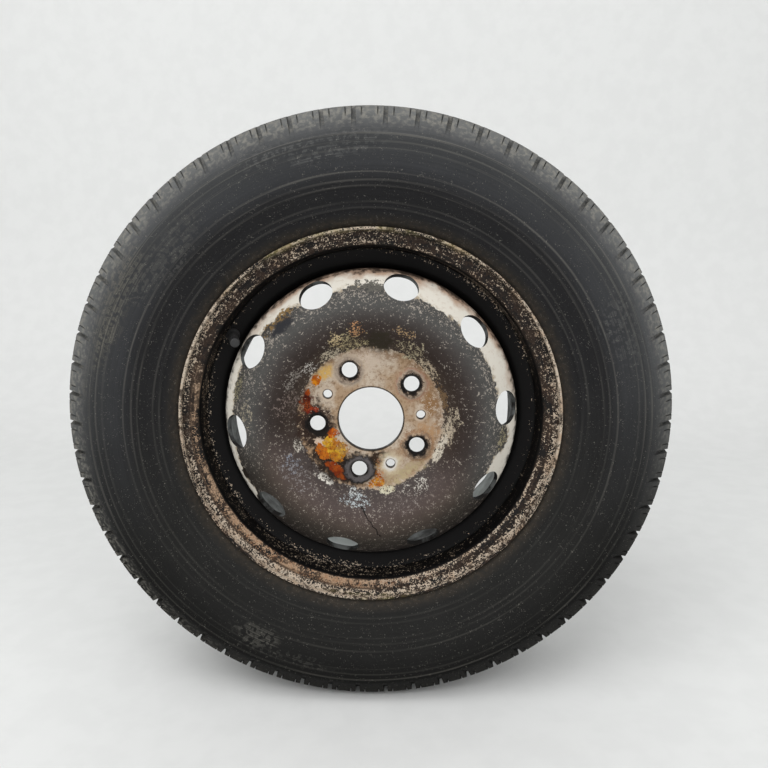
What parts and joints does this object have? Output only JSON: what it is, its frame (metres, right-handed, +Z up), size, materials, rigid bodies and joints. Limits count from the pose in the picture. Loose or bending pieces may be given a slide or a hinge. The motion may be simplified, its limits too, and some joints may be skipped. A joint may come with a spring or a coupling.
{
  "type": "steel road wheel with tyre",
  "caption": "Pressed steel van wheel with a round vented disc, conical bolt seats and a worn tubeless tyre with grooved tread, slotted shoulders and a snap-in valve.",
  "frame": {"origin": "on the axle, at the middle of the rim's width", "axes": "+X right as seen from outboard, +Y inboard along the axle, +Z up; the outboard face looks along -Y"},
  "size_m": [0.6679, 0.215, 0.6663],
  "materials": {
    "tyre_rubber": "matte, dusty",
    "rim_paint": "satin black, chipped",
    "disc_paint": "satin dark grey, flaked over cream primer and rust",
    "weld_paint": "satin black",
    "valve_rubber": "matte",
    "valve_brass": "satin",
    "seal_rubber": "matte",
    "cap_plastic": "matte"
  },
  "bodies": {
    "wheel": {"tyre": "tyre_rubber", "rim": "rim_paint", "wheel_disc": "disc_paint", "disc_welds": "weld_paint", "valve_stem": "valve_rubber", "valve_barrel": "valve_brass", "core_plug": "valve_brass"},
    "core_pin": {"core_pin": "valve_brass"},
    "cap_seal": {"cap_seal": "seal_rubber"},
    "valve_cap": {"valve_cap": "cap_plastic"}
  },
  "joints": [
    {"name": "core_press", "type": "slide", "parent": "wheel", "child": "core_pin", "axis": [-0.2375, 0.9613, 0.1399], "range_m": [0, 0.0012], "stiffness_N_per_m": 1500},
    {"name": "cap_lift", "type": "slide", "parent": "wheel", "child": "cap_seal", "axis": [0.2375, -0.9613, -0.1399], "range_m": [0, 0.00635]},
    {"name": "cap_turn", "type": "hinge", "parent": "cap_seal", "child": "valve_cap", "pos_m": [-0.14624, -0.0742, 0.08614], "axis": [0.2375, -0.9613, -0.1399], "range_deg": [0, 2880]}
  ],
  "couplings": [
    {"joint": "cap_turn", "follows": "cap_lift", "rad_per_m": 7913.3}
  ]
}
